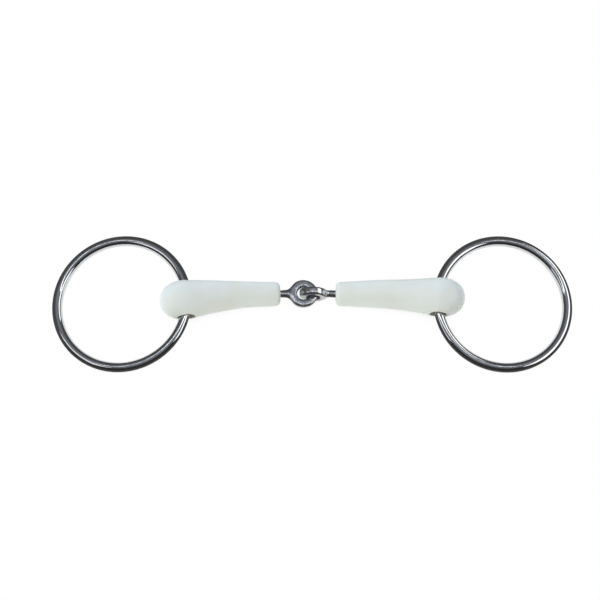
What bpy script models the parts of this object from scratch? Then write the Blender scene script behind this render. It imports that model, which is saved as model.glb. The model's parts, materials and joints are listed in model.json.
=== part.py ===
"""A loose-ring snaffle bit, jointed once in the middle, laid flat on a surface.

Each half of the mouthpiece is a forged steel core inside a moulded plastic sleeve. The cores link at
their centre eyes. At its outer end each core has a butt eye, and a steel bush lines the hole through
it. A round steel ring runs through each bush.

Metres, +Z up, +X from the left ring to the right ring, z = 0 under the bit. Each half is modelled in
its own frame: origin in the middle of its ring hole, +X towards the centre eye, +Y along the hole.
"""

import math
from collections import namedtuple

import bmesh
import bpy
from mathutils import Matrix, Vector

MM = 0.001
GAP = 0.3 * MM  # between pieces that touch or nearly touch

# Rings
RING_RADIUS = 32.5 * MM  # to the middle of the wire, so 70 mm across outside
RING_WIRE = 2.5 * MM  # radius of the wire
RING_INSET = 0.24 * MM  # the wire sits this far inside the hole's axis, because it curves

# Bushes, and the hole that they line
BUSH_BORE = 3.25 * MM
BUSH_OUTER = 3.8 * MM
BUSH_HALF_LENGTH = 5.5 * MM
HOLE_RADIUS = BUSH_OUTER + GAP
HOLE_LIP = 0.8 * MM  # rounding where the hole breaks through the sleeve
HOLE_LIP_START = 8.4 * MM
HOLE_LIP_LEAN = 75  # degrees that the lip curls out, and from there on it flares straight
HOLE_LIP_FLARE = 3  # widening of the straight flare per length
BUSH_CHAMFER = 0.2 * MM

# Cores
EYE_RADIUS = 5.05 * MM  # centre eye, to the middle of its section
EYE_WIRE = 1.95 * MM  # half the section's width and height
EYE_SQUARENESS = 3.5  # exponent of the section's superellipse: 2 is round, and more is squarer
BUTT_EYE_OUTER = 6.0 * MM
BUTT_EYE_HALF_HEIGHT = 3.0 * MM
BUTT_EYE_CHAMFER = 0.4 * MM
SHANK_END = 5.0 * MM  # the shank stops here, inside the butt eye's wall
# Half-widths of the shank at distances from the centre eye: in the eye's plane, and across it.
# The first section is buried in the eye's wire, and the next ones make the forged neck.
SHANK_SECTIONS = (
    (5.2, 4.4, 1.3),
    (5.8, 3.95, 1.5),
    (6.6, 3.05, 1.65),
    (7.6, 2.2, 1.75),
    (8.8, 1.95, 1.8),
    (10.4, 1.85, 1.8),
    (12.0, 1.8, 1.8),
    (24.0, 2.1, 2.1),
    (40.0, 2.3, 2.3),
)

# Sleeves
BUTT_RADIUS = 9.8 * MM
BUTT_REACH = 12.9 * MM  # how far the rounded butt runs past the hole
BUTT_ROUNDNESS = 2.25  # 2 is an ellipse, and more is blunter
BUTT_TIP_LEAN = 6  # degrees round the butt where its flat tip starts
INNER_CORNER = 2.6 * MM
CUTTER_OVERRUN = 2 * MM  # the tools that cut the sleeve run this far out of it
CHANNEL_MARGIN = 1 * MM  # the shank's own sections are used up to here from the sleeve's end

EYE_CLEARANCE = 0.05 * MM  # the upright eye stands this far off the surface

# The two halves, which are not quite the same length. Lengths run from the hole.
Half = namedtuple("Half", "way length sleeve_end taper bow turn ring_turn eye_upright eye_height")
HALVES = {
    "left": Half(
        way=-1,
        length=57.9 * MM,
        sleeve_end=46.4 * MM,
        taper=((0, 9.8), (7, 8.85), (15, 7.95), (23, 7.05), (31, 6.45), (39, 6.1), (46.4, 5.95)),
        bow=1.1,
        turn=3.75,
        ring_turn=1.7,
        eye_upright=False,
        eye_height=7.0 * MM,
    ),
    "right": Half(
        way=1,
        length=61.65 * MM,
        sleeve_end=50.6 * MM,
        taper=((0, 9.8), (4, 9.25), (9.5, 8.45), (17, 7.7), (25, 7.2), (33, 6.8), (41, 6.35), (50.6, 5.85)),
        bow=0.75,
        turn=2.32,
        ring_turn=4.2,
        eye_upright=True,
        eye_height=EYE_RADIUS + EYE_WIRE + EYE_CLEARANCE,
    ),
}
# Sideways bow of each half from its chord: (distance from the hole, share of the bow), in mm
BOW_CURVE = ((-12.9, 0.0), (0, 0.0), (12, 0.65), (28, 1.0), (42, 0.58), (61.65, 0.0))

# Where the centre eyes are
LEFT_EYE_XY = Vector((-4.3 * MM, 4.75 * MM))
EYE_SPACING = 4.9 * MM  # between the two eyes' centres, not quite pulled tight

# Mesh fineness
RING_STEPS, RING_SIDES = 72, 12
EYE_STEPS, EYE_SIDES = 40, 12
SLEEVE_SIDES = 32
SHANK_SIDES = 16
HOLE_SIDES = 24
BUTT_ROWS, TAPER_ROWS, CORNER_ROWS, LIP_ROWS = 9, 11, 5, 4
SMOOTH_ANGLE = math.radians(40)
TANGENT_STEP = 0.5 * MM
EMPTY_SIZE = 5 * MM


def clear_scene():
    for obj in list(bpy.data.objects):
        bpy.data.objects.remove(obj, do_unlink=True)


def make_material(name, colour, metallic, roughness):
    mat = bpy.data.materials.new(name)
    mat.use_nodes = True
    shader = mat.node_tree.nodes["Principled BSDF"]
    shader.inputs["Base Color"].default_value = (*colour, 1.0)
    shader.inputs["Metallic"].default_value = metallic
    shader.inputs["Roughness"].default_value = roughness
    mat.diffuse_color = (*colour, 1.0)
    return mat


def smooth_curve(points, at):
    """The value at a distance on a smooth curve through (distance, value) points."""
    last = len(points) - 2
    k = min(max(sum(at >= p[0] for p in points) - 1, 0), last)
    (x0, y0), (x1, y1) = points[k], points[k + 1]
    before, after = points[max(k - 1, 0)], points[min(k + 2, last + 1)]
    slope0 = (y1 - before[1]) / (x1 - before[0])
    slope1 = (after[1] - y0) / (after[0] - x0)
    width = x1 - x0
    t = min(max((at - x0) / width, 0.0), 1.0)
    return (
        (2 * t**3 - 3 * t**2 + 1) * y0
        + (t**3 - 2 * t**2 + t) * width * slope0
        + (3 * t**2 - 2 * t**3) * y1
        + (t**3 - t**2) * width * slope1
    )


def skin(name, rows, closed=False):
    """A mesh over rows of points, each a closed loop. The ends are capped, or joined if closed."""
    bm = bmesh.new()
    loops = [[bm.verts.new(p) for p in row] for row in rows]
    pairs = list(zip(loops, loops[1:]))
    if closed:
        pairs.append((loops[-1], loops[0]))
    else:
        bm.faces.new(loops[0])
        bm.faces.new(loops[-1])
    for one, other in pairs:
        for k in range(len(one)):
            bm.faces.new((one[k - 1], one[k], other[k], other[k - 1]))
    bmesh.ops.recalc_face_normals(bm, faces=bm.faces)
    mesh = bpy.data.meshes.new(name)
    bm.to_mesh(mesh)
    bm.free()
    mesh.shade_smooth()
    mesh.set_sharp_from_angle(angle=SMOOTH_ANGLE)
    return mesh


def squared(share, squareness):
    """A sine or cosine, changed for a superellipse with this exponent."""
    return math.copysign(abs(share) ** (2 / squareness), share)


def torus(name, radius, wire, steps, sides, squareness=2.0):
    """A ring in the XY plane. Its section is round, or squarer if squareness is above 2."""
    section = []
    for k in range(sides):
        angle = 2 * math.pi * k / sides
        out = wire * squared(math.cos(angle), squareness)
        section.append(Vector((radius + out, 0, wire * squared(math.sin(angle), squareness))))
    rows = []
    for i in range(steps):
        turn = Matrix.Rotation(2 * math.pi * i / steps, 3, "Z")
        rows.append([turn @ p for p in section])
    return skin(name, rows, closed=True)


def turned(name, profile, sides):
    """A solid of revolution about Y, through (y, radius) points from end to end."""
    rows = []
    for y, radius in profile:
        angles = [2 * math.pi * k / sides for k in range(sides)]
        rows.append([Vector((radius * math.cos(a), y, radius * math.sin(a))) for a in angles])
    return skin(name, rows)


def turned_ring(name, inner, outer, half_length, chamfer, sides):
    """A short tube about Y, with its edges broken."""
    end = half_length - chamfer
    outline = (
        (inner, end), (inner + chamfer, half_length), (outer - chamfer, half_length), (outer, end),
        (outer, -end), (outer - chamfer, -half_length), (inner + chamfer, -half_length), (inner, -end),
    )
    rows = []
    for k in range(sides):
        turn = Matrix.Rotation(2 * math.pi * k / sides, 3, "Y")
        rows.append([turn @ Vector((radius, y, 0)) for radius, y in outline])
    return skin(name, rows, closed=True)


def axis_point(half, distance):
    """A point on the half's bowed centreline. Both halves bow away from the folded side."""
    share = smooth_curve(BOW_CURVE, distance / MM)
    return Vector((distance, -half.way * half.bow * share * MM, 0))


def cross_section(half, distance, width, height, sides):
    """An ellipse square to the centreline: width along Y, height along Z."""
    tangent = axis_point(half, distance + TANGENT_STEP) - axis_point(half, distance - TANGENT_STEP)
    tangent.normalize()
    across = Vector((0, 0, 1)).cross(tangent)
    centre = axis_point(half, distance)
    angles = [2 * math.pi * k / sides for k in range(sides)]
    up = Vector((0, 0, 1))
    return [centre + across * (width * math.cos(a)) + up * (height * math.sin(a)) for a in angles]


def sleeve_outline(half):
    """(distance, radius) pairs down the outside of the sleeve, from the butt to the inner end."""
    outline = []
    for k in range(BUTT_ROWS):
        lean = math.radians(BUTT_TIP_LEAN + (90 - BUTT_TIP_LEAN) * k / BUTT_ROWS)
        share = math.cos(lean)
        radius = BUTT_RADIUS * (1 - share**BUTT_ROUNDNESS) ** (1 / BUTT_ROUNDNESS)
        outline.append((-BUTT_REACH * share, radius))
    straight_end = half.sleeve_end - INNER_CORNER
    for k in range(TAPER_ROWS):
        distance = straight_end * k / TAPER_ROWS
        outline.append((distance, smooth_curve(half.taper, distance / MM) * MM))
    corner_radius = smooth_curve(half.taper, straight_end / MM) * MM
    for k in range(CORNER_ROWS):
        lean = math.radians(90 * k / (CORNER_ROWS - 1))
        drop = INNER_CORNER * (1 - math.cos(lean))
        outline.append((straight_end + INNER_CORNER * math.sin(lean), corner_radius - drop))
    return outline


def sleeve_mesh(side, half):
    rows = [cross_section(half, d, r, r, SLEEVE_SIDES) for d, r in sleeve_outline(half)]
    return skin(f"sleeve_{side}", rows)


def shank_sections(half, extra=0.0):
    """(distance from the hole, half-width in the eye's plane, half-width across it)."""
    sections = [
        (half.length - d * MM, w * MM + extra, h * MM + extra) for d, w, h in SHANK_SECTIONS
    ]
    end_width, end_height = sections[-1][1:]
    return [*sections, (SHANK_END, end_width, end_height)]


def shank_mesh(side, half):
    rows = []
    for distance, in_plane, across in shank_sections(half):
        width, height = (across, in_plane) if half.eye_upright else (in_plane, across)
        rows.append(cross_section(half, distance, width, height, SHANK_SIDES))
    return skin(f"core_{side}", rows)


def channel_mesh(side, half):
    """The space for the shank in the sleeve. It runs out of the sleeve's inner end."""
    inside = [s for s in shank_sections(half, GAP) if s[0] < half.sleeve_end - CHANNEL_MARGIN]
    radius = max(inside[0][1:])
    rows = [cross_section(half, half.sleeve_end + CUTTER_OVERRUN, radius, radius, SHANK_SIDES)]
    for distance, width, height in inside:
        rows.append(cross_section(half, distance, width, height, SHANK_SIDES))
    return skin(f"channel_{side}", rows)


def hole_profile():
    """(y, radius) pairs of the ring hole through the sleeve, with a rounded lip at each mouth."""
    mouth = []
    for k in range(LIP_ROWS):
        lean = math.radians(HOLE_LIP_LEAN * k / (LIP_ROWS - 1))
        along = HOLE_LIP_START + HOLE_LIP * math.sin(lean)
        mouth.append((along, HOLE_RADIUS + HOLE_LIP * (1 - math.cos(lean))))
    beyond = BUTT_RADIUS + CUTTER_OVERRUN
    mouth.append((beyond, mouth[-1][1] + HOLE_LIP_FLARE * (beyond - mouth[-1][0])))
    return [(-y, r) for y, r in reversed(mouth)] + mouth


def half_frame(half):
    """World matrix of a half."""
    eye = Vector((*LEFT_EYE_XY, half.eye_height))
    if half.way > 0:
        eye.x += EYE_SPACING
    drop = math.asin((BUTT_RADIUS - half.eye_height) / half.length)
    turn = math.radians(half.turn)
    towards_eye = Vector((
        -half.way * math.cos(turn) * math.cos(drop),
        math.sin(turn) * math.cos(drop),
        -math.sin(drop),
    ))
    along_hole = Vector((0, 0, 1)).cross(towards_eye).normalized()
    upward = towards_eye.cross(along_hole)
    frame = Matrix((towards_eye, along_hole, upward)).transposed().to_4x4()
    frame.translation = eye - towards_eye * half.length
    return frame


def ring_frame(half, hole):
    """World matrix of a ring: its centre, with +Z square to it. Its far side lies on the floor."""
    reach = RING_RADIUS - RING_INSET
    slope = math.asin((hole.z - RING_WIRE) / (reach + RING_RADIUS))
    turn = math.radians(half.ring_turn)
    outward = Vector((
        half.way * math.cos(turn) * math.cos(slope),
        -math.sin(turn) * math.cos(slope),
        -math.sin(slope),
    ))
    sideways = Vector((0, 0, 1)).cross(outward).normalized()
    frame = Matrix((outward, sideways, outward.cross(sideways))).transposed().to_4x4()
    frame.translation = hole + outward * reach
    return frame


def add_empty(name, world):
    obj = bpy.data.objects.new(name, None)
    obj.empty_display_size = EMPTY_SIZE
    obj.matrix_basis = world
    bpy.context.scene.collection.objects.link(obj)
    return obj


def add_piece(mesh, world, parent, mat):
    """An object from a mesh, placed in the world under an empty that has no parent."""
    obj = bpy.data.objects.new(mesh.name, mesh)
    mesh.materials.append(mat)
    bpy.context.scene.collection.objects.link(obj)
    obj.parent = parent
    obj.matrix_basis = parent.matrix_basis.inverted() @ world
    return obj


def combine(target, tool, operation):
    """Joins a hidden tool object to the target, or cuts it away."""
    tool.hide_render = True
    tool.display_type = "WIRE"
    modifier = target.modifiers.new(tool.name, "BOOLEAN")
    modifier.operation = operation
    modifier.solver = "EXACT"
    modifier.object = tool


def build_core(side, half, frame, parent, mat):
    core = add_piece(shank_mesh(side, half), frame, parent, mat)
    eye_place = frame @ Matrix.Translation((half.length, 0, 0))
    if half.eye_upright:
        eye_place = eye_place @ Matrix.Rotation(math.pi / 2, 4, "X")
    eye = torus(f"centre_eye_{side}", EYE_RADIUS, EYE_WIRE, EYE_STEPS, EYE_SIDES, EYE_SQUARENESS)
    combine(core, add_piece(eye, eye_place, parent, mat), "UNION")
    butt_eye = turned_ring(
        f"butt_eye_{side}",
        HOLE_RADIUS,
        BUTT_EYE_OUTER,
        BUTT_EYE_HALF_HEIGHT,
        BUTT_EYE_CHAMFER,
        HOLE_SIDES,
    )
    combine(core, add_piece(butt_eye, frame, parent, mat), "UNION")


def build_sleeve(side, half, frame, parent, mat):
    sleeve = add_piece(sleeve_mesh(side, half), frame, parent, mat)
    room = BUTT_EYE_HALF_HEIGHT + GAP
    radius = BUTT_EYE_OUTER + GAP
    pocket = turned(f"butt_eye_room_{side}", ((-room, radius), (room, radius)), HOLE_SIDES)
    hole = turned(f"ring_hole_{side}", hole_profile(), HOLE_SIDES)
    for mesh in (channel_mesh(side, half), pocket, hole):
        combine(sleeve, add_piece(mesh, frame, parent, mat), "DIFFERENCE")


def build_half(side, half, steel, plastic, fold_pivot):
    """One half of the mouthpiece, its bush and its ring."""
    frame = half_frame(half)
    hole = frame.translation
    hole_axis = add_empty(f"ring_hole_axis_{side}", frame)
    body_parent = fold_pivot if half.way > 0 else hole_axis
    build_core(side, half, frame, body_parent, steel)
    build_sleeve(side, half, frame, body_parent, plastic)
    bush = turned_ring(
        f"bush_{side}", BUSH_BORE, BUSH_OUTER, BUSH_HALF_LENGTH, BUSH_CHAMFER, HOLE_SIDES
    )
    add_piece(bush, frame, hole_axis, steel)
    ring = torus(f"ring_{side}", RING_RADIUS, RING_WIRE, RING_STEPS, RING_SIDES)
    add_piece(ring, ring_frame(half, hole), hole_axis, steel)


def main():
    clear_scene()
    steel = make_material("polished_steel", (0.60, 0.61, 0.63), 1.0, 0.12)
    plastic = make_material("white_plastic", (0.78, 0.83, 0.80), 0.0, 0.35)
    left_frame = half_frame(HALVES["left"])
    eye_centre = left_frame @ Matrix.Translation((HALVES["left"].length, 0, 0))
    fold_pivot = add_empty("centre_fold_pivot", eye_centre)
    for side, half in HALVES.items():
        build_half(side, half, steel, plastic, fold_pivot)


main()
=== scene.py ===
"""Looks for the loose-ring snaffle bit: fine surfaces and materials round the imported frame.

Each piece is built in its half's own frame, as in the CAD: origin in the middle of the ring hole,
+X towards the centre eye, +Y along the hole. The frame's joints say where those are.
"""

import json
import math
from collections import namedtuple

import bmesh
import bpy
from mathutils import Matrix, Vector, noise as perlin


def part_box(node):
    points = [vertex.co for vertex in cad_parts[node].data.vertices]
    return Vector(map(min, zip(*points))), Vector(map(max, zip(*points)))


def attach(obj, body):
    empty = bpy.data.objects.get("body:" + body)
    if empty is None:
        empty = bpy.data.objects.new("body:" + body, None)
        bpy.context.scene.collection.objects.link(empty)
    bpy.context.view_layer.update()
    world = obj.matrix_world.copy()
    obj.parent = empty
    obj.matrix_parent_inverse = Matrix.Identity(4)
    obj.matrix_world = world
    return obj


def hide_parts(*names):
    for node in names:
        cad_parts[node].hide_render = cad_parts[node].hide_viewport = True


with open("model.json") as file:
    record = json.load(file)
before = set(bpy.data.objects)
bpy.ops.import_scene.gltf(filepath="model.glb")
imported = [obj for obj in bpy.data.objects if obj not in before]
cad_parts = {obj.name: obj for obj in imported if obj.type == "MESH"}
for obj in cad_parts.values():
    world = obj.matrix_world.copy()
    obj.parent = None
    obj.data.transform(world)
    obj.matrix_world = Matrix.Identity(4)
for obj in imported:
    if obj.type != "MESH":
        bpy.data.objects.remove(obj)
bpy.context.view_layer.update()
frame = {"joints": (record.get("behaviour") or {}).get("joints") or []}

MM = 0.001
JOINTS = {j["name"]: j for j in frame["joints"]}

# Sizes shared with the CAD
RING_RADIUS = 32.5 * MM
RING_WIRE = 2.5 * MM
BUSH_BORE = 3.25 * MM
BUSH_OUTER = 3.8 * MM
BUSH_HALF_LENGTH = 5.5 * MM
HOLE_RADIUS = 4.1 * MM
HOLE_LIP = 0.8 * MM
HOLE_LIP_START = 8.4 * MM
EYE_RADIUS = 5.05 * MM
EYE_WIRE = 1.95 * MM
EYE_SQUARENESS = 3.5  # 2 is a round section, and more is squarer
EYE_SPACING = 4.9 * MM
BUTT_EYE_OUTER = 6.0 * MM
BUTT_EYE_HALF_HEIGHT = 3.0 * MM
SHANK_END = 5.0 * MM
# (distance from the eye's centre, half width in the eye's plane, half thickness), in mm
SHANK_SECTIONS = (
    (5.2, 4.4, 1.3),
    (5.8, 3.95, 1.5),
    (6.6, 3.05, 1.65),
    (7.6, 2.2, 1.75),
    (8.8, 1.95, 1.8),
    (10.4, 1.85, 1.8),
    (12.0, 1.8, 1.8),
    (24.0, 2.1, 2.1),
    (40.0, 2.3, 2.3),
)
BUTT_RADIUS = 9.8 * MM
BUTT_REACH = 12.9 * MM
BUTT_ROUNDNESS = 2.25
INNER_CORNER = 2.6 * MM
GAP = 0.3 * MM
BOSS_ROUNDING = 0.5 * MM
BUSH_ROUNDING = 0.22 * MM
SEAM_HEIGHT, SEAM_HALF_WIDTH = 0.05 * MM, 0.14 * MM  # the mould's parting line
SEAM_ROOM = 0.6  # the most of one side of the section that half its width may take
WELD_HEIGHT, WELD_SPREAD = 0.03 * MM, 0.035  # each ring's dressed weld: spread in radians
FORGING_DENTS = ((4.4 * MM, 0.13 * MM), (1.2 * MM, 0.03 * MM))  # (size, depth)

# way is the half's side in x, taper is (distance from the hole, radius) and bow is sideways, in mm
Half = namedtuple("Half", "way sleeve_end taper bow eye_upright")
HALVES = {
    "left": Half(
        way=-1,
        sleeve_end=46.4 * MM,
        taper=((0, 9.8), (7, 8.85), (15, 7.95), (23, 7.05), (31, 6.45), (39, 6.1), (46.4, 5.95)),
        bow=1.1,
        eye_upright=False,
    ),
    "right": Half(
        way=1,
        sleeve_end=50.6 * MM,
        taper=((0, 9.8), (4, 9.25), (9.5, 8.45), (17, 7.7), (25, 7.2), (33, 6.8), (41, 6.35), (50.6, 5.85)),
        bow=0.75,
        eye_upright=True,
    ),
}
# (distance from the hole in mm, share of the half's bow)
BOW_CURVE = ((-12.9, 0.0), (0, 0.0), (12, 0.65), (28, 1.0), (42, 0.58), (61.65, 0.0))

# Mesh fineness
RING_STEPS, RING_SIDES = 288, 40
EYE_STEPS, EYE_SIDES = 96, 32
SLEEVE_SIDES = 96
SHANK_SIDES = 40
HOLE_SIDES = 96
BUTT_ROWS, TAPER_ROWS, CORNER_ROWS = 28, 60, 13
LIP_ROWS = 9
ROUNDING_ROWS = 5
BUTT_TIP = 2  # the butt's first row, in degrees round from its tip
LIP_TURN = 78  # how far round the hole's lip goes, in degrees
CUTTER_OVERRUN = 2 * MM  # how far a cutting tool reaches past what it cuts
CUTTER_FLARE = 4  # slope of the hole's tool beyond the lip
CHANNEL_MARGIN = 1 * MM
TANGENT_STEP = 0.5 * MM
CORE_VOXEL = 0.18 * MM
CORE_SMOOTHING, CORE_SMOOTHING_PASSES = 0.5, 9
SMOOTH_ANGLE = math.radians(35)


def smooth_curve(points, at):
    """The value at a distance on a smooth curve through (distance, value) points."""
    last = len(points) - 2
    k = min(max(sum(at >= p[0] for p in points) - 1, 0), last)
    (x0, y0), (x1, y1) = points[k], points[k + 1]
    before, after = points[max(k - 1, 0)], points[min(k + 2, last + 1)]
    slope0 = (y1 - before[1]) / (x1 - before[0])
    slope1 = (after[1] - y0) / (after[0] - x0)
    width = x1 - x0
    t = min(max((at - x0) / width, 0.0), 1.0)
    return (
        (2 * t**3 - 3 * t**2 + 1) * y0
        + (t**3 - 2 * t**2 + t) * width * slope0
        + (3 * t**2 - 2 * t**3) * y1
        + (t**3 - t**2) * width * slope1
    )


def skin(name, rows, closed=False):
    """A mesh over rows of points, each a closed loop. The ends are capped, or joined if closed."""
    bm = bmesh.new()
    loops = [[bm.verts.new(p) for p in row] for row in rows]
    pairs = list(zip(loops, loops[1:]))
    if closed:
        pairs.append((loops[-1], loops[0]))
    else:
        bm.faces.new(loops[0])
        bm.faces.new(loops[-1])
    for one, other in pairs:
        for k in range(len(one)):
            bm.faces.new((one[k - 1], one[k], other[k], other[k - 1]))
    bmesh.ops.recalc_face_normals(bm, faces=bm.faces)
    mesh = bpy.data.meshes.new(name)
    bm.to_mesh(mesh)
    bm.free()
    mesh.shade_smooth()
    mesh.set_sharp_from_angle(angle=SMOOTH_ANGLE)
    return mesh


def squared(share, squareness):
    """A sine or cosine, changed for a superellipse with this exponent."""
    return math.copysign(abs(share) ** (2 / squareness), share)


def torus(name, radius, wire, steps, sides, squareness=2.0, weld=0.0):
    """A ring of wire in the XY plane. Its weld, on the -X side, stands this far proud."""
    rows = []
    for i in range(steps):
        angle = 2 * math.pi * i / steps
        turn = Matrix.Rotation(angle, 3, "Z")
        thick = wire + weld * math.exp(-(((angle - math.pi) / WELD_SPREAD) ** 2))
        section = []
        for k in range(sides):
            a = 2 * math.pi * k / sides
            out = thick * squared(math.cos(a), squareness)
            section.append(Vector((radius + out, 0, thick * squared(math.sin(a), squareness))))
        rows.append([turn @ p for p in section])
    return skin(name, rows, closed=True)


def turned(name, profile, sides):
    """A solid of revolution about Y, through (y, radius) points from end to end."""
    rows = []
    for y, radius in profile:
        angles = [2 * math.pi * k / sides for k in range(sides)]
        rows.append([Vector((radius * math.cos(a), y, radius * math.sin(a))) for a in angles])
    return skin(name, rows)


def turned_ring(name, outline, sides):
    """A solid of revolution about Y of a closed (radius, y) outline that stays clear of the axis."""
    rows = []
    for k in range(sides):
        turn = Matrix.Rotation(2 * math.pi * k / sides, 3, "Y")
        rows.append([turn @ Vector((radius, y, 0)) for radius, y in outline])
    return skin(name, rows, closed=True)


def rounded_tube_outline(inner, outer, half_length, rounding):
    """The closed outline of a tube's wall, its four corners rounded."""
    corners = (
        (inner + rounding, half_length - rounding, 180),
        (outer - rounding, half_length - rounding, 90),
        (outer - rounding, rounding - half_length, 0),
        (inner + rounding, rounding - half_length, -90),
    )
    outline = []
    for radius, y, start in corners:
        for k in range(ROUNDING_ROWS):
            lean = math.radians(start - 90 * k / (ROUNDING_ROWS - 1))
            outline.append((radius + rounding * math.cos(lean), y + rounding * math.sin(lean)))
    return outline


def axis_point(half, distance):
    """A point on a half's slightly bowed centreline."""
    share = smooth_curve(BOW_CURVE, distance / MM)
    return Vector((distance, -half.way * half.bow * share * MM, 0))


def section_frame(half, distance):
    """(centre, sideways, up) of the section square to the centreline."""
    tangent = axis_point(half, distance + TANGENT_STEP) - axis_point(half, distance - TANGENT_STEP)
    up = Vector((0, 0, 1))
    return axis_point(half, distance), up.cross(tangent.normalized()), up


def cross_section(half, distance, width, height, sides):
    """An ellipse: width sideways, height up."""
    centre, across, up = section_frame(half, distance)
    angles = [2 * math.pi * k / sides for k in range(sides)]
    return [centre + across * (width * math.cos(a)) + up * (height * math.sin(a)) for a in angles]


def seamed_section(half, distance, radius):
    """A round section with the mould's parting line raised on both sides of it."""
    centre, across, up = section_frame(half, distance)
    step = 2 * math.pi / SLEEVE_SIDES
    edge = min(SEAM_HALF_WIDTH / radius, SEAM_ROOM * step)
    around = []
    for start in (0, math.pi):
        around += [(start - edge, 0), (start, SEAM_HEIGHT), (start + edge, 0)]
        around += [(start + k * step, 0) for k in range(1, SLEEVE_SIDES // 2)]
    return [
        centre + (across * math.cos(a) + up * math.sin(a)) * (radius + proud) for a, proud in around
    ]


# Places


def half_frame(side):
    """(world matrix of a half, distance from its hole to its centre eye)."""
    half = HALVES[side]
    hole = Vector(JOINTS[f"{side}_ring_swing"]["pos_m"])
    eye = Vector(JOINTS["centre_fold"]["pos_m"])
    if half.eye_upright:
        eye.x += EYE_SPACING
        eye.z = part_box(f"core_{side}")[0].z + EYE_RADIUS + EYE_WIRE
    towards_eye = eye - hole
    length = towards_eye.length
    towards_eye.normalize()
    along_hole = Vector((0, 0, 1)).cross(towards_eye).normalized()
    upward = towards_eye.cross(along_hole)
    world = Matrix((towards_eye, along_hole, upward)).transposed().to_4x4()
    world.translation = hole
    return world, length


def ring_frame(side):
    """World matrix of a ring: origin in its centre, +X away from the hole, +Z square to it."""
    spin = JOINTS[f"{side}_ring_spin"]
    hole = Vector(JOINTS[f"{side}_ring_swing"]["pos_m"])
    centre, normal = Vector(spin["pos_m"]), Vector(spin["axis"])
    outward = centre - hole
    outward = (outward - normal * outward.dot(normal)).normalized()
    world = Matrix((outward, normal.cross(outward), normal)).transposed().to_4x4()
    world.translation = centre
    return world


# Building


def add_object(mesh, world, mat=None):
    obj = bpy.data.objects.new(mesh.name, mesh)
    bpy.context.scene.collection.objects.link(obj)
    obj.matrix_world = world
    if mat:
        mesh.materials.append(mat)
    return obj


def baked(obj):
    """Applies the object's modifiers to its mesh."""
    deps = bpy.context.evaluated_depsgraph_get()
    mesh = bpy.data.meshes.new_from_object(obj.evaluated_get(deps))
    old = obj.data
    obj.modifiers.clear()
    obj.data = mesh
    mesh.name = old.name
    bpy.data.meshes.remove(old)
    mesh.shade_smooth()
    mesh.set_sharp_from_angle(angle=SMOOTH_ANGLE)


def combine(target, tools, operation):
    """Joins each tool mesh's solid to the target, or cuts it away."""
    cutters = []
    for mesh in tools:
        tool = add_object(mesh, target.matrix_world)
        modifier = target.modifiers.new(tool.name, "BOOLEAN")
        modifier.operation = operation
        modifier.solver = "EXACT"
        modifier.object = tool
        cutters.append(tool)
    bpy.context.view_layer.update()
    baked(target)
    for tool in cutters:
        bpy.data.objects.remove(tool)


def sleeve_outline(half):
    """(distance, radius) of the sleeve's outside: rounded butt, taper, rounded inner corner."""
    outline = []
    for k in range(BUTT_ROWS):
        lean = math.radians(BUTT_TIP + (90 - BUTT_TIP) * k / BUTT_ROWS)
        share = math.cos(lean)
        radius = BUTT_RADIUS * (1 - share**BUTT_ROUNDNESS) ** (1 / BUTT_ROUNDNESS)
        outline.append((-BUTT_REACH * share, radius))
    straight_end = half.sleeve_end - INNER_CORNER
    for k in range(TAPER_ROWS):
        distance = straight_end * k / TAPER_ROWS
        outline.append((distance, smooth_curve(half.taper, distance / MM) * MM))
    corner_radius = smooth_curve(half.taper, straight_end / MM) * MM
    for k in range(CORNER_ROWS):
        lean = math.radians(90 * k / (CORNER_ROWS - 1))
        drop = INNER_CORNER * (1 - math.cos(lean))
        outline.append((straight_end + INNER_CORNER * math.sin(lean), corner_radius - drop))
    return outline


def hole_profile():
    """(y, radius) of the tool that cuts the ring hole, with a rounded lip at each mouth."""
    mouth = []
    for k in range(LIP_ROWS):
        lean = math.radians(LIP_TURN * k / (LIP_ROWS - 1))
        along = HOLE_LIP_START + HOLE_LIP * math.sin(lean)
        mouth.append((along, HOLE_RADIUS + HOLE_LIP * (1 - math.cos(lean))))
    beyond = BUTT_RADIUS + CUTTER_OVERRUN
    mouth.append((beyond, mouth[-1][1] + CUTTER_FLARE * (beyond - mouth[-1][0])))
    return [(-y, r) for y, r in reversed(mouth)] + mouth


def shank_sections(length, extra=0.0):
    """(distance from the hole, half width, half height) from the eye to the butt, made larger by extra."""
    sections = [(length - d * MM, w * MM + extra, h * MM + extra) for d, w, h in SHANK_SECTIONS]
    end_width, end_height = sections[-1][1:]
    return [*sections, (SHANK_END, end_width, end_height)]


def build_sleeve(side, mat):
    half = HALVES[side]
    world, length = half_frame(side)
    rows = [seamed_section(half, d, r) for d, r in sleeve_outline(half)]
    sleeve = add_object(skin(f"sleeve_{side}_skin", rows), world, mat)
    inside = [s for s in shank_sections(length, GAP) if s[0] < half.sleeve_end - CHANNEL_MARGIN]
    radius = max(inside[0][1:])
    tube = [cross_section(half, half.sleeve_end + CUTTER_OVERRUN, radius, radius, SHANK_SIDES)]
    tube += [cross_section(half, d, w, h, SHANK_SIDES) for d, w, h in inside]
    room = BUTT_EYE_HALF_HEIGHT + GAP
    pocket = ((-room, BUTT_EYE_OUTER + GAP), (room, BUTT_EYE_OUTER + GAP))
    tools = [
        skin("channel", tube),
        turned("pocket", pocket, HOLE_SIDES),
        turned("hole", hole_profile(), HOLE_SIDES),
    ]
    combine(sleeve, tools, "DIFFERENCE")
    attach(sleeve, f"{side}_half")
    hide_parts(f"sleeve_{side}")


def dent(mesh):
    """Moves the surface in and out by smooth noise, as forging and tumbling leave it."""
    normals = [v.normal.copy() for v in mesh.vertices]
    for vertex, normal in zip(mesh.vertices, normals):
        depth = sum(deep * perlin.noise(vertex.co / size) for size, deep in FORGING_DENTS)
        vertex.co += normal * depth


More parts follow.
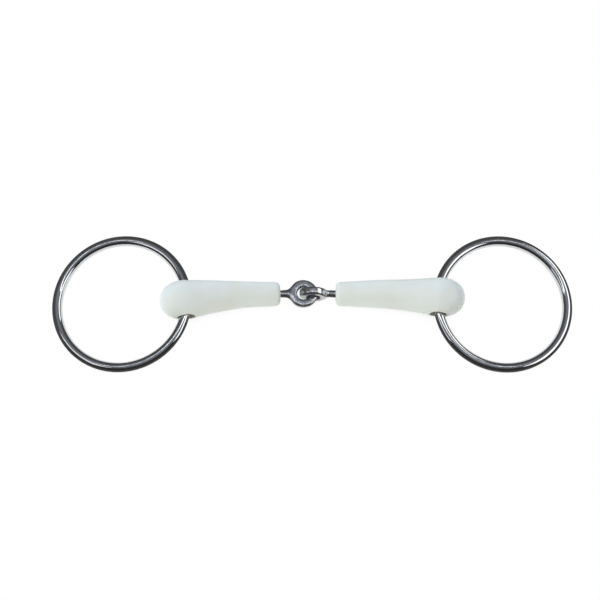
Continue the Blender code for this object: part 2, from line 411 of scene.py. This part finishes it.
def build_core(side, mat):
    half = HALVES[side]
    world, length = half_frame(side)
    rows = []
    for distance, in_plane, across in shank_sections(length):
        width, height = (across, in_plane) if half.eye_upright else (in_plane, across)
        rows.append(cross_section(half, distance, width, height, SHANK_SIDES))
    core = add_object(skin(f"core_{side}_forging", rows), world, mat)
    eye = torus("eye", EYE_RADIUS, EYE_WIRE, EYE_STEPS, EYE_SIDES, squareness=EYE_SQUARENESS)
    if half.eye_upright:
        eye.transform(Matrix.Rotation(math.pi / 2, 4, "X"))
    eye.transform(Matrix.Translation((length, 0, 0)))
    boss = rounded_tube_outline(HOLE_RADIUS, BUTT_EYE_OUTER, BUTT_EYE_HALF_HEIGHT, BOSS_ROUNDING)
    combine(core, [eye, turned_ring("boss", boss, HOLE_SIDES)], "UNION")
    remesh = core.modifiers.new("remesh", "REMESH")
    remesh.mode = "VOXEL"
    remesh.voxel_size = CORE_VOXEL
    soften = core.modifiers.new("soften", "SMOOTH")
    soften.factor = CORE_SMOOTHING
    soften.iterations = CORE_SMOOTHING_PASSES
    bpy.context.view_layer.update()
    baked(core)
    dent(core.data)
    core.data.materials.clear()
    core.data.materials.append(mat)
    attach(core, f"{side}_half")
    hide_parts(f"core_{side}")


def build_bush(side, mat):
    world, _ = half_frame(side)
    outline = rounded_tube_outline(BUSH_BORE, BUSH_OUTER, BUSH_HALF_LENGTH, BUSH_ROUNDING)
    bush = add_object(turned_ring(f"bush_{side}_liner", outline, HOLE_SIDES), world, mat)
    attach(bush, f"{side}_bush")
    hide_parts(f"bush_{side}")


def build_ring(side, mat):
    ring = add_object(
        torus(f"ring_{side}_wire", RING_RADIUS, RING_WIRE, RING_STEPS, RING_SIDES, weld=WELD_HEIGHT),
        ring_frame(side),
        mat,
    )
    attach(ring, f"{side}_ring")
    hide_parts(f"ring_{side}")


# Materials

# Parts of a noise's values: most of them, their upper part, their high part and their rare peaks
MOST = (0.3, 0.7)
UPPER = (0.35, 0.7)
HIGH = (0.45, 0.8)
PEAKS = (0.70, 0.76)
NOISE_ROUGHNESS = 0.55


def new_material(name):
    """(the material, its node tree, its Principled shader)."""
    mat = bpy.data.materials.new(name)
    mat.use_nodes = True
    return mat, mat.node_tree, mat.node_tree.nodes["Principled BSDF"]


def math_node(tree, operation, first, second=None, third=None):
    """A Math node's output. Each input is a number or another node's output."""
    node = tree.nodes.new("ShaderNodeMath")
    node.operation = operation
    for socket, value in zip(node.inputs, (first, second, third)):
        if isinstance(value, bpy.types.NodeSocket):
            tree.links.new(value, socket)
        elif value is not None:
            socket.default_value = value
    return node.outputs[0]


def off_centre(tree, x, y):
    """The distance of a point from 0, 0."""
    squares = [math_node(tree, "MULTIPLY", side, side) for side in (x, y)]
    return math_node(tree, "SQRT", math_node(tree, "ADD", *squares))


def vector_of(tree, x, y, z):
    node = tree.nodes.new("ShaderNodeCombineXYZ")
    for socket, value in zip(node.inputs, (x, y, z)):
        if isinstance(value, bpy.types.NodeSocket):
            tree.links.new(value, socket)
        else:
            socket.default_value = value
    return node.outputs[0]


def own_place(tree):
    """The surface point in the piece's own frame: the vector, then x, y and z."""
    coords = tree.nodes.new("ShaderNodeTexCoord")
    split = tree.nodes.new("ShaderNodeSeparateXYZ")
    tree.links.new(coords.outputs["Object"], split.inputs[0])
    return coords.outputs["Object"], *split.outputs


def noise(tree, place, size, detail):
    """Noise from 0 to 1 whose features are about this size, in metres."""
    node = tree.nodes.new("ShaderNodeTexNoise")
    node.inputs["Scale"].default_value = 1 / size
    node.inputs["Detail"].default_value = detail
    node.inputs["Roughness"].default_value = NOISE_ROUGHNESS
    tree.links.new(place, node.inputs["Vector"])
    return node.outputs["Fac"]


def remap(tree, value, span, to_span=(0.0, 1.0)):
    """Takes one span of values to another, and holds the ends."""
    node = tree.nodes.new("ShaderNodeMapRange")
    tree.links.new(value, node.inputs["Value"])
    for name, number in zip(("From Min", "From Max", "To Min", "To Max"), (*span, *to_span)):
        node.inputs[name].default_value = number
    return node.outputs["Result"]


def mix_colour(tree, share, one, other):
    node = tree.nodes.new("ShaderNodeMix")
    node.data_type = "RGBA"
    tree.links.new(share, node.inputs["Factor"])
    for socket, value in ((node.inputs[6], one), (node.inputs[7], other)):
        if isinstance(value, bpy.types.NodeSocket):
            tree.links.new(value, socket)
        else:
            socket.default_value = (*value, 1)
    return node.outputs[2]


def mix_shader(tree, share, one, other):
    node = tree.nodes.new("ShaderNodeMixShader")
    tree.links.new(share, node.inputs["Fac"])
    tree.links.new(one.outputs[0], node.inputs[1])
    tree.links.new(other.outputs[0], node.inputs[2])
    return node


def bump(tree, shader, height, distance):
    """Bump of a height field from 0 to 1 that stands this far proud at 1."""
    node = tree.nodes.new("ShaderNodeBump")
    node.inputs["Strength"].default_value = 1.0
    node.inputs["Distance"].default_value = distance
    tree.links.new(height, node.inputs["Height"])
    tree.links.new(node.outputs["Normal"], shader.inputs["Normal"])


def along_wire(tree, x, y, z, stretch):
    """Coordinates that run along a ring's wire and are squeezed by stretch that way."""
    angle = math_node(tree, "ARCTAN2", y, x)
    out = math_node(tree, "SUBTRACT", off_centre(tree, x, y), RING_RADIUS)
    round_wire = math_node(tree, "ARCTAN2", z, out)
    along = math_node(tree, "MULTIPLY", angle, RING_RADIUS / stretch)
    across = math_node(tree, "MULTIPLY", round_wire, RING_WIRE)
    return vector_of(tree, along, across, 0.0)


# Each material's sizes are those of its noises' features
WIRE_LINES, WIRE_SMEARS, WIRE_SCRATCHES = 0.12 * MM, 5 * MM, 0.5 * MM
LINE_STRETCH, SCRATCH_STRETCH = 40, 9
LINE_DEPTH = 0.004 * MM
SCRATCH_ROUGHNESS = 0.10
WIRE_ROUGHNESS = (0.035, 0.10)
WIRE_TINTS = ((0.60, 0.61, 0.63), (0.67, 0.68, 0.69))


def polished_wire():
    """Drawn and polished stainless wire: fine lines along it, faint smears and a few scratches."""
    mat, tree, shader = new_material("polished_wire_steel")
    place, x, y, z = own_place(tree)
    lines = noise(tree, along_wire(tree, x, y, z, LINE_STRETCH), WIRE_LINES, 2)
    smears = noise(tree, place, WIRE_SMEARS, 3)
    scratches = noise(tree, along_wire(tree, x, y, z, SCRATCH_STRETCH), WIRE_SCRATCHES, 1)
    scratch = remap(tree, scratches, PEAKS, (0.0, SCRATCH_ROUGHNESS))
    rough = math_node(tree, "ADD", remap(tree, smears, UPPER, WIRE_ROUGHNESS), scratch)
    tree.links.new(rough, shader.inputs["Roughness"])
    tree.links.new(mix_colour(tree, smears, *WIRE_TINTS), shader.inputs["Base Color"])
    shader.inputs["Metallic"].default_value = 1.0
    bump(tree, shader, lines, LINE_DEPTH)
    return mat


FORGING_PITS, FORGING_SMEARS = 0.9 * MM, 2.5 * MM
PIT_DEPTH = 0.03 * MM
FORGING_ROUGHNESS = (0.12, 0.28)
FORGING_TINTS = ((0.60, 0.61, 0.64), (0.72, 0.73, 0.76))


def forged_steel():
    """Forged, tumbled and polished stainless: small pits, darker in them, and dull smears."""
    mat, tree, shader = new_material("forged_steel")
    place, *_ = own_place(tree)
    pits = noise(tree, place, FORGING_PITS, 3)
    smears = noise(tree, place, FORGING_SMEARS, 2)
    tree.links.new(remap(tree, smears, UPPER, FORGING_ROUGHNESS), shader.inputs["Roughness"])
    tree.links.new(mix_colour(tree, pits, *FORGING_TINTS), shader.inputs["Base Color"])
    shader.inputs["Metallic"].default_value = 1.0
    bump(tree, shader, pits, PIT_DEPTH)
    return mat


TOOL_MARKS, BUSH_GRIME = 0.15 * MM, 1.6 * MM
TOOL_MARK_DEPTH = 0.01 * MM
BUSH_ROUGHNESS = (0.24, 0.42)
BUSH_TINTS = ((0.30, 0.28, 0.24), (0.50, 0.49, 0.47))


def satin_steel():
    """Turned stainless: rings of tool marks round the hole's axis, darkened in use."""
    mat, tree, shader = new_material("satin_turned_steel")
    place, _, y, _ = own_place(tree)
    marks = noise(tree, vector_of(tree, 0.0, y, 0.0), TOOL_MARKS, 2)
    grime = noise(tree, place, BUSH_GRIME, 3)
    tree.links.new(remap(tree, marks, MOST, BUSH_ROUGHNESS), shader.inputs["Roughness"])
    tree.links.new(mix_colour(tree, grime, *BUSH_TINTS), shader.inputs["Base Color"])
    shader.inputs["Metallic"].default_value = 1.0
    bump(tree, shader, marks, TOOL_MARK_DEPTH)
    return mat


PLASTIC_TINTS = ((0.66, 0.705, 0.715), (0.64, 0.665, 0.635))
# The ring hole's wall and mouths are darkened, partly as grime and partly as painted shade where the hole
# lies in shade
PLASTIC_GRIME_AND_SHADE = (0.36, 0.32, 0.23)
CLOUDS, SATIN, GRAIN, WAVES = 14 * MM, 4 * MM, 0.35 * MM, 6 * MM
GRIME_AND_SHADE_SPOTS, GRIME_AND_SHADE_RAGGEDNESS = 1.2 * MM, 0.8 * MM
GRIME_AND_SHADE_EDGE = (HOLE_RADIUS + 0.35 * MM, HOLE_RADIUS + 0.95 * MM)  # from where it is full to none
GRIME_AND_SHADE_SHARE = 0.6
SCUFFS, SCUFF_SQUEEZE = 0.5 * MM, 0.15  # the squeeze makes them long
SCUFF_ROUGHNESS = 0.06
PLASTIC_ROUGHNESS = (0.27, 0.36)
GRAIN_DEPTH, WAVE_SHARE = 0.006 * MM, 8.0  # the waves' depth is a multiple of the grain's
PLASTIC_IOR = 1.49
PLASTIC_DEPTH = 2.5 * MM  # how far light goes into it
PLASTIC_GLOW = 0.35
PLASTIC_SPREAD = (0.8, 1.0, 0.9)  # red, green and blue shares of that depth


def milky_plastic():
    """Soft white plastic with a cool green tint, satin, faintly scuffed, and darkened at the ring holes by
    grime and painted shade.
    """
    mat, tree, shader = new_material("milky_plastic")
    place, x, y, z = own_place(tree)
    clouds = remap(tree, noise(tree, place, CLOUDS, 2), MOST)
    colour = mix_colour(tree, clouds, *PLASTIC_TINTS)
    # Grime and painted shade in the ring hole and round its mouths, with a ragged edge: the hole's wall is
    # darkened for the shade inside it as well as for grime
    spots = noise(tree, place, GRIME_AND_SHADE_SPOTS, 3)
    ragged_hole_distance = math_node(tree, "MULTIPLY_ADD", spots, GRIME_AND_SHADE_RAGGEDNESS, off_centre(tree, x, z))
    grime = remap(tree, ragged_hole_distance, GRIME_AND_SHADE_EDGE, (GRIME_AND_SHADE_SHARE, 0.0))
    colour = mix_colour(tree, grime, colour, PLASTIC_GRIME_AND_SHADE)
    tree.links.new(colour, shader.inputs["Base Color"])
    squeezed = vector_of(tree, math_node(tree, "MULTIPLY", x, SCUFF_SQUEEZE), y, z)
    scuffs = remap(tree, noise(tree, squeezed, SCUFFS, 2), HIGH, (0.0, SCUFF_ROUGHNESS))
    satin = remap(tree, noise(tree, place, SATIN, 3), MOST, PLASTIC_ROUGHNESS)
    tree.links.new(math_node(tree, "ADD", satin, scuffs), shader.inputs["Roughness"])
    shader.inputs["IOR"].default_value = PLASTIC_IOR
    shader.inputs["Subsurface Weight"].default_value = PLASTIC_GLOW
    shader.inputs["Subsurface Radius"].default_value = PLASTIC_SPREAD
    shader.inputs["Subsurface Scale"].default_value = PLASTIC_DEPTH
    grain = noise(tree, place, GRAIN, 3)
    waves = noise(tree, place, WAVES, 2)
    height = math_node(tree, "MULTIPLY_ADD", waves, WAVE_SHARE, grain)
    bump(tree, shader, height, GRAIN_DEPTH)
    return mat


FLOOR_MOTTLE = 90 * MM
FLOOR_TINTS = ((0.955, 0.955, 0.955), (0.975, 0.975, 0.975))
FLOOR_ROUGHNESS = 0.6


def floor_acrylic():
    """White acrylic, lit a little from below as on a product table, with a painted reflection for polished
    steel.
    """
    mat, tree, shader = new_material("white_acrylic_floor")
    place, x, y, _ = own_place(tree)
    mottle = noise(tree, place, FLOOR_MOTTLE, 2)
    tree.links.new(mix_colour(tree, mottle, *FLOOR_TINTS), shader.inputs["Base Color"])
    shader.inputs["Roughness"].default_value = FLOOR_ROUGHNESS
    shader.inputs["Specular IOR Level"].default_value = 0.0
    shader.inputs["Emission Color"].default_value = (1, 1, 1, 1)
    shader.inputs["Emission Strength"].default_value = FLOOR_GLOW
    # Painted reflection: for rays off polished steel the floor is swapped for a dark glow outside the rings
    # and at shallow slopes, so polished steel mirrors it nearly white inside the rings and steeply below,
    # and dark further out
    ring_x, ring_y, _ = JOINTS["right_ring_spin"]["pos_m"]
    off_x = math_node(tree, "SUBTRACT", math_node(tree, "ABSOLUTE", x), ring_x)
    off_y = math_node(tree, "SUBTRACT", y, ring_y)
    slant = tree.nodes.new("ShaderNodeLayerWeight").outputs["Facing"]
    outside = remap(tree, off_centre(tree, off_x, off_y), (RING_RADIUS - RING_WIRE, RING_RADIUS))
    shallow = remap(tree, slant, TABLE_SLANT)
    painted_reflection_share = remap(tree, math_node(tree, "MULTIPLY", outside, shallow), (0.0, 1.0), (PAINTED_REFLECTION_DIMMING, 1.0))
    path = tree.nodes.new("ShaderNodeLightPath")
    share = math_node(tree, "MULTIPLY", painted_reflection_share, path.outputs["Is Glossy Ray"])
    mirrored = tree.nodes.new("ShaderNodeEmission")
    mirrored.inputs["Color"].default_value = (*STUDIO_LOW, 1)
    lit = mix_shader(tree, share, shader, mirrored)
    # The camera looks through it at the white backdrop, dimmed where the bit hides the sky from it
    sky = tree.nodes.new("ShaderNodeAmbientOcclusion")
    sky.samples = SKY_SAMPLES
    sky.inputs["Distance"].default_value = SKY_REACH
    clear = tree.nodes.new("ShaderNodeBsdfTransparent")
    dimmed = remap(tree, sky.outputs["AO"], (0.0, SKY_FOR_WHITE), (FLOOR_SHADE, 1.0))
    tree.links.new(dimmed, clear.inputs["Color"])
    seen = mix_shader(tree, path.outputs["Is Camera Ray"], lit, clear)
    tree.links.new(seen.outputs[0], tree.nodes["Material Output"].inputs["Surface"])
    return mat


# Stage

CAMERA_TARGET = Vector((-6.0 * MM, 3.75 * MM, 0))
CAMERA_DISTANCE = 0.80
CAMERA_TILT = math.radians(17.0)  # from straight down
CAMERA_LENS = 96.4
SENSOR = 36

DOME_COOL = (0.95, 1.03, 1.15)  # light from behind the bit and above
DOME_WARM = (0.85, 0.82, 0.70)  # and from the camera's side
DOME_FROM_LEFT = 0.5  # how much stronger it is from the left than on average
DOME_BLEND = (-0.8, 0.8)  # y of the warm and the cool side
FLOOR_HALF = 6.0
FLOOR_GLOW = 0.42
FLOOR_SHADE = 0.6  # what is left of the white where the bit hides all of the sky
SKY_FOR_WHITE = 0.4  # share of the sky that keeps the floor white
SKY_REACH = 0.5  # how far off something can be and still hide the sky
SKY_SAMPLES = 8
# These two shape the painted reflection: the dark glow that stands in for the floor in polished steel
TABLE_SLANT = (0.05, 0.22)  # 1 minus the sine of a mirrored ray's slope, from steep to shallow
PAINTED_REFLECTION_DIMMING = 0.25  # how much of the white is lost in polished steel where it is brightest
STUDIO_TOP = (0.25, 0.275, 0.31)  # what polished steel mirrors straight above
STUDIO_LOW = (0.085, 0.08, 0.078)  # and near the horizon
STUDIO_FRONT = (0.035, 0.033, 0.032)  # on the camera's side
STUDIO_FRONT_BLEND = (-0.45, 0.0)  # y of that side and of the rest
STUDIO_TOP_BLEND = (0.72, 0.97)  # z of the horizon's part and of the top

# The right softbox only makes highlights, and the fill only makes soft light
Panel = namedtuple("Panel", "name azimuth elevation distance width height radiance colour diffuse glossy")
PANELS = (
    Panel("softbox_right", 5, 40, 0.9, 1.1, 0.42, 1.7, (1.0, 0.99, 0.97), False, True),
    Panel("softbox_left", 196, 46, 0.9, 0.50, 0.30, 1.0, (0.97, 0.99, 1.0), True, True),
    Panel("strip_above", 90, 84, 0.8, 0.85, 0.05, 2.4, (1.0, 1.0, 1.0), True, True),
    Panel("fill_above", 100, 75, 0.13, 0.12, 0.08, 0.6, (1.0, 1.0, 1.0), True, False),
)


def build_camera():
    data = bpy.data.cameras.new("camera")
    data.lens = CAMERA_LENS
    data.sensor_width = SENSOR
    cam = bpy.data.objects.new("camera", data)
    bpy.context.scene.collection.objects.link(cam)
    back = Vector((0, -math.sin(CAMERA_TILT), math.cos(CAMERA_TILT)))
    cam.location = CAMERA_TARGET + back * CAMERA_DISTANCE
    cam.rotation_euler = (CAMERA_TILT, 0, 0)
    bpy.context.scene.camera = cam


def build_floor():
    half = FLOOR_HALF
    corners = [(-half, -half, 0), (half, -half, 0), (half, half, 0), (-half, half, 0)]
    mesh = bpy.data.meshes.new("floor")
    mesh.from_pydata(corners, [], [(0, 1, 2, 3)])
    floor = add_object(mesh, Matrix.Identity(4), floor_acrylic())


def build_panel(panel):
    """A soft rectangular light that faces the bit, out of the camera's sight."""
    data = bpy.data.lights.new(panel.name, "AREA")
    data.shape = "RECTANGLE"
    data.size, data.size_y = panel.width, panel.height
    data.color = panel.colour
    data.energy = panel.radiance * math.pi * panel.width * panel.height
    light = bpy.data.objects.new(panel.name, data)
    bpy.context.scene.collection.objects.link(light)
    azimuth, elevation = math.radians(panel.azimuth), math.radians(panel.elevation)
    outward = Vector((
        math.cos(azimuth) * math.cos(elevation),
        math.sin(azimuth) * math.cos(elevation),
        math.sin(elevation),
    ))
    light.location = outward * panel.distance
    light.rotation_euler = outward.to_track_quat("Z", "Y").to_euler()
    light.visible_camera = False
    light.visible_diffuse = panel.diffuse
    light.visible_glossy = panel.glossy


def build_dome():
    """A soft dome lights everything. Polished steel mirrors a darker studio, and the camera sees white."""
    world = bpy.data.worlds.new("studio")
    bpy.context.scene.world = world
    world.use_nodes = True
    tree = world.node_tree
    coords = tree.nodes.new("ShaderNodeTexCoord")
    split = tree.nodes.new("ShaderNodeSeparateXYZ")
    tree.links.new(coords.outputs["Generated"], split.inputs[0])
    x, y, z = split.outputs
    dome = tree.nodes["Background"]
    light = mix_colour(tree, remap(tree, y, DOME_BLEND), DOME_WARM, DOME_COOL)
    tree.links.new(light, dome.inputs["Color"])
    tree.links.new(math_node(tree, "MULTIPLY_ADD", x, -DOME_FROM_LEFT, 1.0), dome.inputs["Strength"])
    low = mix_colour(tree, remap(tree, y, STUDIO_FRONT_BLEND), STUDIO_FRONT, STUDIO_LOW)
    mirrored = mix_colour(tree, remap(tree, z, STUDIO_TOP_BLEND), low, STUDIO_TOP)
    studio = tree.nodes.new("ShaderNodeBackground")
    tree.links.new(mirrored, studio.inputs["Color"])
    backdrop = tree.nodes.new("ShaderNodeBackground")
    backdrop.inputs["Color"].default_value = (1, 1, 1, 1)
    path = tree.nodes.new("ShaderNodeLightPath")
    unseen = mix_shader(tree, path.outputs["Is Glossy Ray"], dome, studio)
    seen = mix_shader(tree, path.outputs["Is Camera Ray"], unseen, backdrop)
    tree.links.new(seen.outputs[0], tree.nodes["World Output"].inputs["Surface"])


def main():
    bpy.context.scene.view_settings.view_transform = "Standard"
    build_camera()
    build_floor()
    build_dome()
    for panel in PANELS:
        build_panel(panel)
    wire, forging, turned_steel, plastic = polished_wire(), forged_steel(), satin_steel(), milky_plastic()
    for side in HALVES:
        build_ring(side, wire)
        build_bush(side, turned_steel)
        build_core(side, forging)
        build_sleeve(side, plastic)


main()
